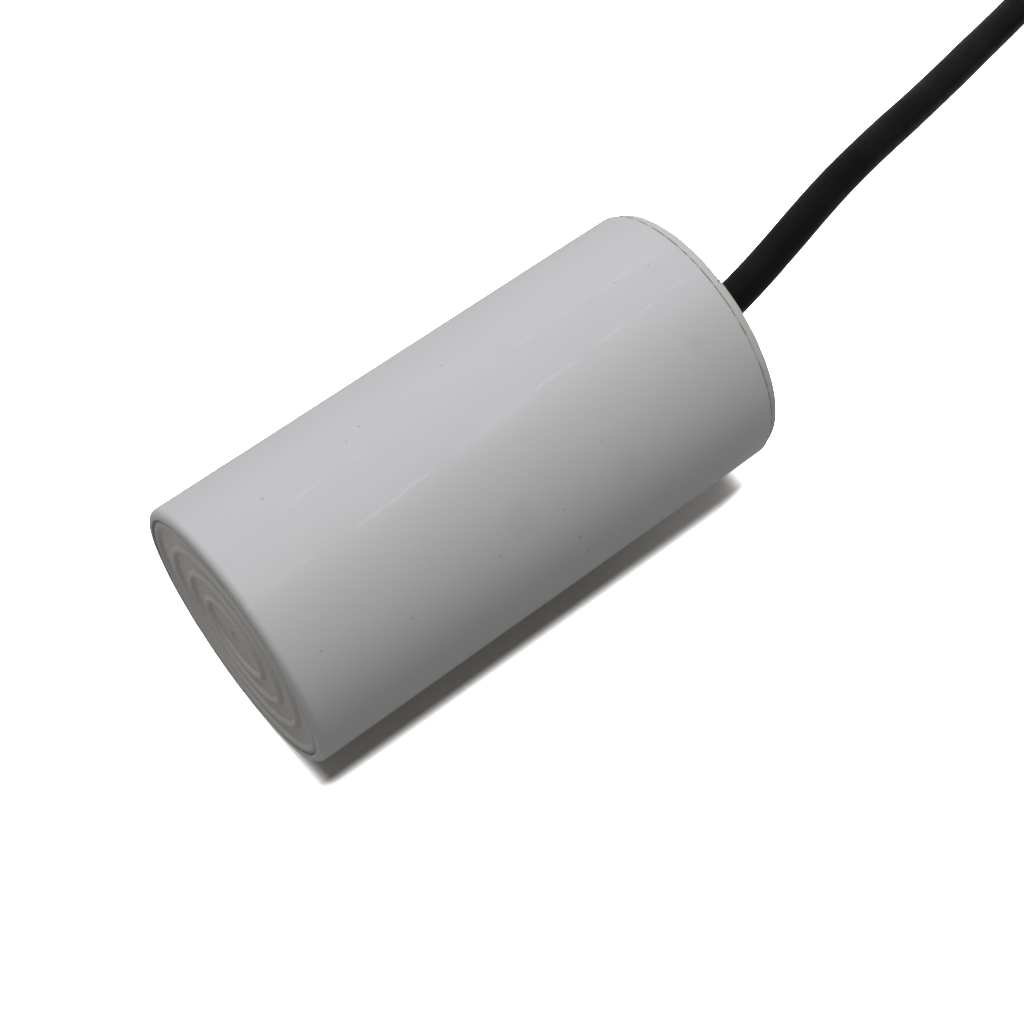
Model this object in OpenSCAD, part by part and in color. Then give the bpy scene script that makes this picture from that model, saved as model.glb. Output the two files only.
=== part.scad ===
// Motor run capacitor: a sealed plastic can that lies on its side, with a round two-core lead.
// The can's axis runs along X: the ringed closed end faces -X, and the lid and its lead face +X.
// Z = 0 is the surface that the can lies on, and the origin is under the middle of the can.
// The lead runs down to that surface and ends in a tied coil, with a ferrule on each core.

/* [Can] */
// Outside diameter of the can
can_d = 45; // [38:0.5:60]
// Length of the can, from the rim of its closed end to its mouth
can_l = 87; // [60:1:130]
// Thickness of the side wall
can_wall = 1.6; // [1.2:0.1:2.4]
// Thickness of the closed end under its recess
end_wall = 1.8; // [1.2:0.1:3]
// Rounding where the side turns into the closed end
rim_round = 1.2; // [0.6:0.1:1.4]
// Rounding around the outside of the mouth
mouth_round = 0.3; // [0.1:0.05:0.6]
// Rounding inside, at the foot of the side wall
foot_round = 1; // [0.4:0.1:2]

/* [Ringed end] */
// Width of the rim that stands around the recess
rim_w = 1.45; // [1.4:0.05:2]
// Depth of the recess
recess_depth = 0.6; // [0.4:0.05:1]
// How many raised rings the recess has
ring_count = 4; // [1:1:4]
// Room between the rim and the foot of the largest ring
ring_margin = 0.3; // [0.1:0.05:0.5]
// Distance from one ring's crest to the next
ring_pitch = 4.35; // [2.5:0.05:4.4]
// Width of a ring at its foot
ring_w = 1.4; // [0.8:0.1:1.6]
// Height of a ring above the recess floor
ring_h = 0.5; // [0.2:0.05:0.6]
// Diameter of the gate mark in the middle
gate_d = 1.6; // [0.8:0.1:3]
// Depth of the gate mark
gate_depth = 0.3; // [0.1:0.05:0.6]

/* [Lid] */
// Thickness of the lid beyond the mouth
lid_t = 1.6; // [1.2:0.1:3]
// How far the lid stays inside the outside of the can
lid_step = 0.5; // [0.3:0.1:1]
// Rounding around the outer edge of the lid
lid_round = 0.6; // [0.2:0.1:1]
// Depth of the spigot that plugs the mouth
spigot_l = 4.5; // [3:0.5:8]
// Wall of the spigot
spigot_wall = 1.5; // [1:0.1:2.5]
// Clearance around the spigot
spigot_gap = 0.1; // [0.05:0.05:0.3]
// Outside diameter of the collar around the lead
collar_d = 10; // [8.5:0.5:14]
// Height of the collar above the lid
collar_l = 1.4; // [0.8:0.1:4]
// Clearance around the lead in the lid
lead_gap = 0.1; // [0.05:0.05:0.3]

/* [Winding] */
// Thickness of the resin around the winding
fill_t = 1.2; // [0.8:0.1:3]
// Thickness of the plain film wrapped around the winding
wrap_t = 0.5; // [0.2:0.1:1]
// Thickness of the sprayed metal on each end of the winding
spray_t = 0.8; // [0.4:0.1:1.2]
// Outside diameter of the tube that the film is wound on
mandrel_d = 9; // [8.4:0.1:10]
// Wall of that tube
mandrel_wall = 1.2; // [0.8:0.1:1.4]
// Resin between the closed end and the winding
end_gap = 3; // [2.5:0.1:6]
// Room for the joints between the winding and the lid's spigot
head_gap = 10.5; // [9.5:0.5:16]
// Distance from the axis to each soldered joint
joint_r = 9; // [7.5:0.5:12]
// Radius of each drop of solder
solder_r = 1.8; // [1.5:0.1:2.2]

/* [Lead] */
// Diameter of the lead's black sheath
lead_d = 6; // [5.4:0.1:6.6]
// Length of sheath that the resin holds
sheath_held = 5; // [3:0.5:6]
// Diameter of each insulated core
core_d = 2.3; // [1.8:0.1:2.6]
// Distance between the middles of the two cores
core_pitch = 2.6; // [2.6:0.1:2.8]
// Diameter of the bare strands
strand_d = 1.1; // [0.8:0.1:1.3]
// Radius of the first half turn of the coil, at the middle of the lead
coil_r = 35; // [35:1:45]
// Room between one turn and the next
turn_gap = 0.3; // [0.1:0.1:0.6]

/* [Tie] */
// Width of the tie's strap
tie_w = 2.6; // [2:0.2:5]
// Thickness of the strap
tie_t = 1; // [0.6:0.1:1.4]
// Side of the tie's lock
lock_w = 4.6; // [4:0.2:6]
// Height of the lock
lock_h = 3.4; // [2.5:0.1:4]

/* [Ferrules] */
// Diameter of a ferrule's plastic collar
cuff_d = 3.2; // [3:0.1:4]
// Length of that collar
cuff_l = 6; // [5.5:0.5:8]
// Clearance around the core in the collar
cuff_gap = 0.05; // [0.02:0.01:0.1]
// Length of insulated core inside the collar
core_held = 4.5; // [2:0.5:4.5]
// Outside diameter of the metal sleeve
sleeve_d = 1.7; // [1.5:0.1:2]
// Length of sleeve beyond the collar
sleeve_l = 8; // [6:0.5:12]

/* [Hidden] */

smooth = 96;        // facets of a round that shows
fine = 32;          // facets of a small round
cut = 0.1;          // how far a cutter runs past a face

// Heights along the can's axis, counted from the rim of the closed end
body_l = can_l + lid_t + collar_l;
axis_z = can_d / 2;
bore_d = can_d - 2 * can_wall;
floor_u = recess_depth + end_wall;
fill_end = can_l - spigot_l;
rear_u = floor_u + end_gap;
front_u = fill_end - head_gap;
roll_l = front_u - rear_u - 2 * spray_t;
wrap_d = bore_d - 2 * fill_t;
roll_d = wrap_d - 2 * wrap_t;
mandrel_bore = mandrel_d - 2 * mandrel_wall;
sheath_u = fill_end - sheath_held;

// Where the wires inside the can bend and end
strand_lay = 0.75;                  // height of a strand above the metal that it is soldered to
blue_inset = 0.5;                   // blue insulation stops this far inside the winding
brown_stand = 1.6;                  // brown insulation stops this far above the winding
core_off = core_pitch / 2;

// The free lead's route: forward of the collar, sideways, and the share of its drop still to go.
// It falls to the surface, lies on it for a while and climbs onto the strap of the tie.
route_steps = [[0, 0, 1], [6, 0, 1], [14, 1.5, 1], [22, 3.5, 0.99], [30, 5.7, 0.97],
    [38, 7.9, 0.93], [46, 9.9, 0.87], [54, 11.8, 0.79], [62, 13.7, 0.69], [70, 15.8, 0.575],
    [78, 18, 0.455], [86, 20.3, 0.335], [94, 22.5, 0.22], [102, 24.7, 0.115], [110, 26.8, 0.03],
    [116, 28.4, -0.02], [122, 30, -0.04], [128, 31.6, -0.03], [134, 33.2, 0]];
route_sides = 10;
coil_z = tie_t + lead_d / 2;
route = [for (s = route_steps)
    [body_l / 2 + s[0], s[1], coil_z + s[2] * (axis_z - coil_z)]];
coil_start = route[len(route) - 1];

// The coil is four half turns, each closer in by half a turn's room, about two centres in turn
coil_heading = 15;                  // direction of the lead where the coil starts
turn_room = lead_d + turn_gap;
coil_end = 150;                     // angle at which the last half turn stops
even_centre = -coil_r;
odd_centre = -coil_r - turn_room / 2;
last_r = coil_r - 1.5 * turn_room;
tie_angle = -40;

// Each core beyond the sheath: forward, inward, and height as a share of the drop
core_sides = 8;
brown_steps = [[0, -1.3, 1], [4, -1, 0.92], [8, 0.4, 0.65], [11.5, 2.8, 0.3], [14, 6, 0.08],
    [15.6, 9.6, 0]];
blue_steps = [[0, 1.3, 1], [3.5, 1.8, 0.92], [6.8, 3.6, 0.65], [9.2, 6.4, 0.3], [10.5, 9.8, 0.08],
    [11, 13.4, 0]];
core_rest = cuff_d / 2;
flare_r = core_d / 2 + cuff_gap;
brown_path = core_path(brown_steps);
blue_path = core_path(blue_steps);

// ---- Shared shapes ----

function unit(v) = v / norm(v);
function last(list) = list[len(list) - 1];

// Places a shape whose axis is Z on the can's axis, at a height above the closed end
module on_axis(u) {
    translate([u - body_l / 2, 0, axis_z]) rotate([0, 90, 0]) children();
}

// A point in the upright plane through the can's axis
function at(u, up) = [u - body_l / 2, 0, axis_z + up];

// A straight round rod between two points
module rod(p, q, d) {
    v = q - p;
    translate(p) rotate([0, acos(v[2] / norm(v)), atan2(v[1], v[0])])
        cylinder(d = d, h = norm(v), $fn = fine);
}

// A bent wire: straight rods with a ball at each bend
module wire(points, d) {
    for (i = [1:len(points) - 1]) rod(points[i - 1], points[i], d);
    for (i = [1:1:len(points) - 2]) translate(points[i]) sphere(d = d, $fn = fine);
}

// Direction of a route at one of its points, with the first and last directions given
function heading(path, i, from, to) =
    i == 0 ? from : i == len(path) - 1 ? to : unit(path[i + 1] - path[i - 1]);

// One ring of points around a route, level with the ground across it
function ring(path, i, from, to, r, sides) =
    let (t = heading(path, i, from, to), side = unit(cross([0, 0, 1], t)), up = cross(t, side))
    [for (k = [0:sides - 1])
        path[i] + r * (cos(360 * k / sides) * side + sin(360 * k / sides) * up)];

// A tube swept along a route
module sweep(path, from, to, d, sides) {
    rings = len(path);
    points = [for (i = [0:rings - 1]) each ring(path, i, from, to, d / 2, sides)];
    walls = [for (i = [0:rings - 2], k = [0:sides - 1])
        let (a = i * sides + k, b = i * sides + (k + 1) % sides)
        each [[a, a + sides, b + sides], [a, b + sides, b]]];
    caps = [[for (k = [0:sides - 1]) k],
        [for (k = [sides - 1:-1:0]) (rings - 1) * sides + k]];
    polyhedron(points = points, faces = concat(walls, caps));
}

// Points of a quarter round, from one angle to another
function arc(x, y, r, from, to, steps = 6) =
    [for (i = [0:steps]) let (a = from + (to - from) * i / steps) [x + r * cos(a), y + r * sin(a)]];

// ---- Can ----

// A ring's crest in section: a flat arc that rises from the recess floor towards the outside
function ring_arc(crest_r) =
    let (r = (pow(ring_w / 2, 2) + pow(ring_h, 2)) / (2 * ring_h),
        half = asin(min(1, ring_w / 2 / r)), low = ring_h > r ? 180 - half : half)
    [for (i = [-4:4]) let (a = low * i / 4)
        [crest_r + r * sin(a), recess_depth - ring_h + r * (1 - cos(a))]];

module can() {
    rim_r = can_d / 2 - rim_w;
    last_ring_r = rim_r - ring_margin - ring_w / 2;
    profile = concat(
        [[0, recess_depth + gate_depth], [gate_d / 2, recess_depth]],
        [for (i = [ring_count - 1:-1:0]) each ring_arc(last_ring_r - i * ring_pitch)],
        [[rim_r, recess_depth], [rim_r, 0]],
        arc(can_d / 2 - rim_round, rim_round, rim_round, -90, 0),
        arc(can_d / 2 - mouth_round, can_l - mouth_round, mouth_round, 0, 90, 3),
        [[bore_d / 2, can_l]],
        arc(bore_d / 2 - foot_round, floor_u + foot_round, foot_round, 0, -90),
        [[0, floor_u]]);
    color("whitesmoke") on_axis(0) rotate_extrude($fn = smooth) polygon(profile);
}

// ---- Lid ----

module lid() {
    edge_r = can_d / 2 - lid_step;
    hole_r = lead_d / 2 + lead_gap;
    spigot_r = bore_d / 2 - spigot_gap;
    profile = concat(
        [[hole_r, 0], [spigot_r - spigot_wall, 0], [spigot_r - spigot_wall, -spigot_l],
            [spigot_r, -spigot_l], [spigot_r, 0]],
        arc(edge_r - mouth_round, mouth_round, mouth_round, -90, 0, 3),
        arc(edge_r - lid_round, lid_t - lid_round, lid_round, 0, 90),
        [[collar_d / 2, lid_t], [collar_d / 2, lid_t + collar_l], [hole_r, lid_t + collar_l]]);
    color("ivory") on_axis(can_l) rotate_extrude($fn = smooth) polygon(profile);
}

// ---- Winding ----

module roll_shape(outer, inner, from, length) {
    on_axis(from) difference() {
        cylinder(d = outer, h = length, $fn = smooth);
        translate([0, 0, -cut]) cylinder(d = inner, h = length + 2 * cut, $fn = fine);
    }
}

module film_winding() {
    color("lightgray") roll_shape(roll_d, mandrel_d, rear_u + spray_t, roll_l);
}

module winding_mandrel() {
    color("white") roll_shape(mandrel_d, mandrel_bore, rear_u + spray_t, roll_l);
}

module film_wrap() {
    color("aliceblue") on_axis(rear_u + spray_t) difference() {
        cylinder(d = wrap_d, h = roll_l, $fn = smooth);
        translate([0, 0, -cut]) cylinder(d = roll_d, h = roll_l + 2 * cut, $fn = smooth);
    }
}

module end_spray_rear() {
    color("darkgray") roll_shape(roll_d, mandrel_bore, rear_u, spray_t);
}

module end_spray_front() {
    color("darkgray") roll_shape(roll_d, mandrel_bore, front_u - spray_t, spray_t);
}

// ---- Wires and joints inside the can ----

module inner_core_blue() {
    color("royalblue") rod(at(rear_u + blue_inset, -core_off), at(sheath_u, -core_off), core_d);
}

module inner_core_brown() {
    color("saddlebrown") rod(at(front_u + brown_stand, core_off), at(sheath_u, core_off), core_d);
}

module inner_strand_blue() {
    color("peru") wire([at(rear_u + blue_inset, -core_off), at(rear_u - strand_lay, -core_off),
        at(rear_u - strand_lay, -joint_r)], strand_d);
}

module inner_strand_brown() {
    color("peru") wire([at(front_u + brown_stand, core_off), at(front_u + strand_lay, core_off),
        at(front_u + strand_lay, joint_r)], strand_d);
}

// Half a ball of solder on a metal face, with the strand inside it left out
module solder_drop(u, up, side) {
    intersection() {
        translate(at(u, up)) sphere(r = solder_r, $fn = fine);
        translate(at(u, up) + [side * solder_r, 0, 0]) cube(2 * solder_r, center = true);
    }
}

module solder_rear() {
    color("silver") difference() {
        solder_drop(rear_u, -joint_r, -1);
        inner_strand_blue();
    }
}

module solder_front() {
    color("silver") difference() {
        solder_drop(front_u, joint_r, 1);
        inner_strand_brown();
    }
}

// ---- Resin ----

module resin_fill() {
    profile = concat(
        [[0, fill_end], [bore_d / 2, fill_end]],
        arc(bore_d / 2 - foot_round, floor_u + foot_round, foot_round, 0, -90),
        [[0, floor_u]]);
    color("tan") difference() {
        on_axis(0) rotate_extrude($fn = smooth) polygon(profile);
        roll_shape(roll_d, mandrel_bore, rear_u, roll_l + 2 * spray_t);
        film_wrap();
        inner_core_blue();
        inner_core_brown();
        inner_strand_blue();
        inner_strand_brown();
        solder_drop(rear_u, -joint_r, -1);
        solder_drop(front_u, joint_r, 1);
        on_axis(sheath_u) cylinder(d = lead_d, h = sheath_held + cut, $fn = fine);
    }
}

// ---- Lead ----

module lead_root() {
    color("#1a1a1a") on_axis(sheath_u) cylinder(d = lead_d, h = body_l - sheath_u, $fn = fine);
}

module lead() {
    color("#1a1a1a") sweep(route, [1, 0, 0], [cos(coil_heading), sin(coil_heading), 0], lead_d,
        route_sides);
}

// Places a shape in the coil's own frame: X runs on from the lead, and the turns lie at -Y
module at_coil(side_y = 0) {
    translate(coil_start) rotate([0, 0, coil_heading]) translate([0, side_y, 0]) children();
}

// Outline of two turns that lie side by side, grown all round by a margin
function turns_outline(inner_r, outer_r, margin = 0) =
    let (r = lead_d / 2 + margin)
    [for (i = [-6:6]) [outer_r + r * cos(15 * i), r * sin(15 * i)],
        for (i = [6:18]) [inner_r + r * cos(15 * i), r * sin(15 * i)]];

// A stretch of turns from one angle to another
module turns(inner_r, outer_r, from, to) {
    rotate([0, 0, from]) rotate_extrude(angle = to - from, $fn = smooth)
        polygon(turns_outline(inner_r, outer_r));
}

// Room that is cut away around the outer turn where the inner one has already stopped
module stopped_turn(outer_r, from, to) {
    r = lead_d / 2;
    side = [for (i = [7:17]) [outer_r + r * cos(15 * i), r * sin(15 * i)]];
    rotate([0, 0, from]) rotate_extrude(angle = to - from, $fn = smooth) polygon(concat(
        [[side[0][0], r + cut]], side, [[side[0][0], -r - cut],
            [last_r - r - cut, -r - cut], [last_r - r - cut, r + cut]]));
}

module lead_coil() {
    odd_r = coil_r - turn_room / 2;
    color("#1a1a1a") {
        at_coil(even_centre) turns(coil_r - turn_room, coil_r, -90, 90);
        at_coil(odd_centre) difference() {
            turns(last_r, odd_r, 90, 270);
            stopped_turn(odd_r, 89, coil_end);
        }
    }
}

// ---- Tie ----

module coil_tie() {
    middle_r = coil_r - turn_room / 2;
    span = 360 * tie_w / (2 * PI * middle_r);
    color("#303030") at_coil(even_centre) rotate([0, 0, tie_angle]) {
        rotate([0, 0, -span / 2]) rotate_extrude(angle = span, $fn = smooth) difference() {
            polygon(turns_outline(coil_r - turn_room, coil_r, tie_t));
            polygon(turns_outline(coil_r - turn_room, coil_r));
        }
        translate([middle_r - lock_w / 2, -lock_w / 2, lead_d / 2]) cube([lock_w, lock_w, lock_h]);
        translate([middle_r - tie_t / 2, -tie_w / 2, lead_d / 2])
            cube([tie_t, tie_w, lock_h + tie_t]);
    }
}

// ---- Cores and ferrules at the far end ----

// Turns [forward, inward, share of drop] steps into points, from the cut end of the sheath
function core_path(steps) =
    let (out = [cos(coil_end + coil_heading), sin(coil_end + coil_heading), 0],
        on = [out[1], -out[0], 0],
        side = [-sin(coil_heading), cos(coil_heading), 0],
        sheath_end = coil_start + odd_centre * side + last_r * out)
    [for (s = steps) sheath_end + s[0] * on - s[1] * out
        + [0, 0, (s[2] - 1) * (coil_z - core_rest)]];

function core_out(path) = let (v = last(path) - path[len(path) - 2]) unit([v[0], v[1], 0]);

// Direction in which the cores leave the sheath
core_start = [sin(coil_end + coil_heading), -cos(coil_end + coil_heading), 0];

module lead_core(path) {
    end = last(path) + core_held * core_out(path);
    sweep(concat(path, [end]), core_start, core_out(path), core_d, core_sides);
}

// Places a shape whose axis is Z on the end of a core, where its ferrule starts
module at_ferrule(path) {
    v = core_out(path);
    translate(last(path)) rotate([0, 0, atan2(v[1], v[0])]) rotate([0, 90, 0]) children();
}

module lead_strand(path) {
    at_ferrule(path) translate([0, 0, core_held])
        cylinder(d = strand_d, h = cuff_l + sleeve_l - core_held, $fn = fine);
}

// Collar of a ferrule: a cuff that fits the core and narrows onto the metal sleeve
module ferrule_cuff(path) {
    nose = sleeve_d / 2 + (cuff_d - core_d) / 4;
    at_ferrule(path) rotate_extrude($fn = fine) polygon([[flare_r, 0], [cuff_d / 2, 0],
        [cuff_d / 2, core_held], [nose, cuff_l], [sleeve_d / 2, cuff_l], [flare_r, core_held]]);
}

// Metal sleeve of a ferrule: a thin tube around the strands, with a flared mouth in the collar
module ferrule_sleeve(path) {
    wall = (sleeve_d - strand_d) / 2;
    tip = cuff_l + sleeve_l;
    at_ferrule(path) rotate_extrude($fn = fine) polygon([
        [flare_r - wall, core_held], [flare_r, core_held], [sleeve_d / 2, cuff_l],
        [sleeve_d / 2, tip], [strand_d / 2, tip], [strand_d / 2, cuff_l]]);
}

module lead_core_blue() { color("royalblue") lead_core(blue_path); }
module lead_core_brown() { color("saddlebrown") lead_core(brown_path); }
module lead_strand_blue() { color("peru") lead_strand(blue_path); }
module lead_strand_brown() { color("peru") lead_strand(brown_path); }
module ferrule_cuff_blue() { color("lightgray") ferrule_cuff(blue_path); }
module ferrule_cuff_brown() { color("lightgray") ferrule_cuff(brown_path); }
module ferrule_sleeve_blue() { color("silver") ferrule_sleeve(blue_path); }
module ferrule_sleeve_brown() { color("silver") ferrule_sleeve(brown_path); }

can();
lid();
resin_fill();
film_winding();
winding_mandrel();
film_wrap();
end_spray_rear();
end_spray_front();
solder_rear();
solder_front();
inner_core_blue();
inner_core_brown();
inner_strand_blue();
inner_strand_brown();
lead_root();
lead();
lead_coil();
coil_tie();
lead_core_blue();
lead_core_brown();
lead_strand_blue();
lead_strand_brown();
ferrule_cuff_blue();
ferrule_cuff_brown();
ferrule_sleeve_blue();
ferrule_sleeve_brown();
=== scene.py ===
# %% [markdown]
# # A motor run capacitor, finished over its measured parts
#
# The real object is a sealed white can of moulded plastic. One end is closed and
# has four raised rings, the other is plugged by an ivory lid, and a black round
# lead comes out of the lid. The pieces already exist at full size. This lesson
# draws the outer ones again in the same places with more detail, and gives all of
# them the finish, the small faults and the light that make them look real.
#
# First the measured model is loaded.

# %% Load the measured parts
import math

import bmesh
import bpy
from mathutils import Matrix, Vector, noise


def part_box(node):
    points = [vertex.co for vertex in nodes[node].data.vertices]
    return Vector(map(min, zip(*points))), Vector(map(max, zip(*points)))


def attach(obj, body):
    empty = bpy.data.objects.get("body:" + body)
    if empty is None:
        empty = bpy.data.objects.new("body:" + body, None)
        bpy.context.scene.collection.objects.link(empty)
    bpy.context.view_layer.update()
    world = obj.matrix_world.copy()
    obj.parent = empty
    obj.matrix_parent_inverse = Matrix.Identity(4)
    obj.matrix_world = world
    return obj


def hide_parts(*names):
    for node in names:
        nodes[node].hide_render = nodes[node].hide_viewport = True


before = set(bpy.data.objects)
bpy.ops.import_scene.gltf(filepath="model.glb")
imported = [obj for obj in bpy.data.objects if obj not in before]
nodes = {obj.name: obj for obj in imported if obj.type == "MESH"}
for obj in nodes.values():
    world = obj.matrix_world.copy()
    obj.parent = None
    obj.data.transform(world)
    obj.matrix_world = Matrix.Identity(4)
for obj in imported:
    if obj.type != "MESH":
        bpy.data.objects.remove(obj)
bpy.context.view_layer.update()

MM = 0.001

# %% [markdown]
# ## Where the can is
#
# Everything is placed from the can: its axis lies along X, its ringed end faces
# -X, and it rests on the ground at Z = 0. The sizes come from the loaded parts,
# so they are read and not typed in again.

# %% Read the can's sizes
can_low, can_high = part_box("can")
lid_low, lid_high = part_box("lid")
can_radius = (can_high.z - can_low.z) / 2
can_length = can_high.x - can_low.x
axis_height = can_low.z + can_radius
middle = Vector(((can_low.x + lid_high.x) / 2, 0, axis_height))
print("can: radius", round(can_radius / MM, 2), "mm, length", round(can_length / MM, 2), "mm")

# %% [markdown]
# ## The camera
#
# A camera is easiest to think of as a place to look at, a direction to look from
# and a distance. It could be turned by hand with three angles, but a direction
# that is turned into a rotation keeps the horizon level. This one stands over the
# near side of the ringed end and looks steeply down with a long lens, which keeps
# the can's sides nearly parallel.

# %% Set up the camera
CAMERA_TURN = math.radians(-38.21)
CAMERA_RISE = math.radians(60.81)
CAMERA_DISTANCE = 318.4 * MM
LENS_MM = 72.83
aim = middle + Vector((1.09 * MM, -8.65 * MM, 0))
look_from = Vector((
    math.sin(CAMERA_TURN) * math.cos(CAMERA_RISE),
    -math.cos(CAMERA_TURN) * math.cos(CAMERA_RISE),
    math.sin(CAMERA_RISE)))
lens = bpy.data.cameras.new("camera")
lens.lens = LENS_MM
lens.clip_start = 1 * MM
camera = bpy.data.objects.new("camera", lens)
camera.location = aim + look_from * CAMERA_DISTANCE
camera.rotation_euler = look_from.to_track_quat("Z", "Y").to_euler()
bpy.context.scene.collection.objects.link(camera)
bpy.context.scene.camera = camera
print("camera at", [round(v / MM, 1) for v in camera.location], "mm")

# %% [markdown]
# ## Skins made of rings
#
# Nearly every piece here is round in section: a turned can, a swept lead, a tube.
# All of them can be made in the same way, as a row of rings whose points are
# joined by four-sided faces. A ring may also be one single point, where a turned
# shape closes on its axis. Building the faces in code, and not from a ready-made
# cylinder, leaves every point free to be moved a little, as moulding does.

# %% Helpers that turn rings into a piece
CREASE = math.radians(32)


def bridge(build, near, far):
    """Joins two rings of points with faces; a ring of one point makes a fan."""
    count = max(len(near), len(far))
    for k in range(count):
        step = (k + 1) % count
        corners = [near[k % len(near)], near[step % len(near)],
                   far[step % len(far)], far[k % len(far)]]
        build.faces.new(list(dict.fromkeys(corners)))


def skin(build, rings, loop=False):
    """Adds rings of places to a mesh under construction and joins them in order."""
    made = [[build.verts.new(place) for place in ring] for ring in rings]
    for near, far in zip(made, made[1:]):
        bridge(build, near, far)
    if loop:
        bridge(build, made[-1], made[0])
    return made


def cap(build, ring):
    """Closes a ring of points with one flat face."""
    build.faces.new(ring)


def finished_piece(build, name):
    """Turns a mesh under construction into a smooth piece with crisp creases."""
    bmesh.ops.recalc_face_normals(build, faces=build.faces)
    mesh = bpy.data.meshes.new(name)
    build.to_mesh(mesh)
    build.free()
    mesh.polygons.foreach_set("use_smooth", [True] * len(mesh.polygons))
    mesh.set_sharp_from_angle(angle=CREASE)
    piece = bpy.data.objects.new(name, mesh)
    bpy.context.scene.collection.objects.link(piece)
    print(name, "has", len(mesh.polygons), "faces")
    return piece


# %% [markdown]
# ## Wiring a finish
#
# A finish is a small network: noise makes patches, the patches choose between two
# shades and two degrees of gloss, and a finer noise makes the grain. The nodes
# could be placed one by one for each finish. Four short helpers keep the wiring
# readable: one adds a node, one does sums, one makes noise of a size in metres,
# and one turns a value into a soft step.

# %% Helpers that wire nodes
def add_node(tree, kind, inputs=None, **options):
    """Adds a node. Inputs are linked when they are sockets, and set when they are values."""
    made = tree.nodes.new(kind)
    for option, value in options.items():
        setattr(made, option, value)
    for socket, value in (inputs or {}).items():
        if isinstance(value, bpy.types.NodeSocket):
            tree.links.new(value, made.inputs[socket])
        else:
            made.inputs[socket].default_value = value
    return made


def calc(tree, operation, *values):
    """One sum on numbers or sockets."""
    return add_node(tree, "ShaderNodeMath", dict(enumerate(values)), operation=operation).outputs[0]


def soft_step(tree, value, start, stop, low=0.0, high=1.0):
    """Goes smoothly from low to high while a value goes from start to stop."""
    return add_node(tree, "ShaderNodeMapRange", {
        "Value": value, "From Min": start, "From Max": stop, "To Min": low, "To Max": high},
        interpolation_type="SMOOTHSTEP").outputs["Result"]


def cloud(tree, where, size, detail=2.0, stretch=(1, 1, 1)):
    """Noise whose patches are about as large as size, between 0 and 1."""
    place = add_node(tree, "ShaderNodeMapping", {"Vector": where, "Scale": stretch}).outputs[0]
    return add_node(tree, "ShaderNodeTexNoise", {
        "Vector": place, "Scale": 1 / size, "Detail": detail}).outputs["Fac"]


def two_shades(tree, factor, low, high):
    """A colour between two, chosen by a factor; each is a socket or three numbers."""
    low, high = (shade if isinstance(shade, bpy.types.NodeSocket) else (*shade, 1)
                 for shade in (low, high))
    return add_node(tree, "ShaderNodeMix", {0: factor, 6: low, 7: high}, data_type="RGBA").outputs[2]


def new_finish(name):
    """A material with its shader, and the place on the piece in the model's own metres."""
    material = bpy.data.materials.new(name)
    material.use_nodes = True
    tree = material.node_tree
    where = add_node(tree, "ShaderNodeTexCoord").outputs["Object"]
    return material, tree, tree.nodes["Principled BSDF"], where


def grain(tree, surface, heights, depth):
    """Raises a surface's normals by a height between 0 and 1 that stands for a depth."""
    bump = add_node(tree, "ShaderNodeBump", {"Height": heights, "Distance": depth})
    tree.links.new(bump.outputs["Normal"], surface.inputs["Normal"])


def simple_finish(name, colour, rough, shade=0.1, patch=5 * MM, fine=0.4 * MM, depth=0.01 * MM,
                  stretch=(1, 1, 1), **shader_values):
    """A mottled finish with a fine grain, for what is cast, drawn or moulded."""
    material, tree, surface, where = new_finish(name)
    patches = cloud(tree, where, patch, 4, stretch)
    darker = [c * (1 - shade) for c in colour]
    tree.links.new(two_shades(tree, patches, darker, colour), surface.inputs["Base Color"])
    gloss = soft_step(tree, cloud(tree, where, patch / 3, 3, stretch), 0.3, 0.7, rough * 0.85, rough * 1.15)
    tree.links.new(gloss, surface.inputs["Roughness"])
    grain(tree, surface, cloud(tree, where, fine, 3, stretch), depth)
    for socket, value in shader_values.items():
        surface.inputs[socket.replace("_", " ")].default_value = value
    return material


print("finishes are wired from noise sizes in metres")

# %% [markdown]
# ## The lead's route
#
# The lead is a round two-core lead in a black sheath, half a metre long. It comes
# straight out of the lid, sags in a long shallow S to the ground, and what is
# left of it is wound up into a small coil. A lead could be drawn as one free-hand
# curve, but its route is better given in the two parts that it has: a few chosen
# points where it lies free, and half turns worked out by a loop where it is
# coiled. Each half turn is smaller by half a turn's room, so the turns lie side
# by side.

# %% Work out the free stretch of the lead
LEAD_RADIUS = 3 * MM
TIE_THICKNESS = 1 * MM
COIL_HEIGHT = TIE_THICKNESS + LEAD_RADIUS
exit_point = Vector((lid_high.x, 0, axis_height))
# Forward of the collar, sideways, and the share of the drop still to go
ROUTE_STEPS = [
    (0, 0, 1), (6, 0, 1), (14, 1.5, 1), (22, 3.5, 0.99), (30, 5.7, 0.97),
    (38, 7.9, 0.93), (46, 9.9, 0.87), (54, 11.8, 0.79), (62, 13.7, 0.69), (70, 15.8, 0.575),
    (78, 18, 0.455), (86, 20.3, 0.335), (94, 22.5, 0.22), (102, 24.7, 0.115), (110, 26.8, 0.03),
    (116, 28.4, -0.02), (122, 30, -0.04), (128, 31.6, -0.03), (134, 33.2, 0)]
route = [exit_point + Vector((ahead * MM, aside * MM, (share - 1) * (axis_height - COIL_HEIGHT)))
         for ahead, aside, share in ROUTE_STEPS]


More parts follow.
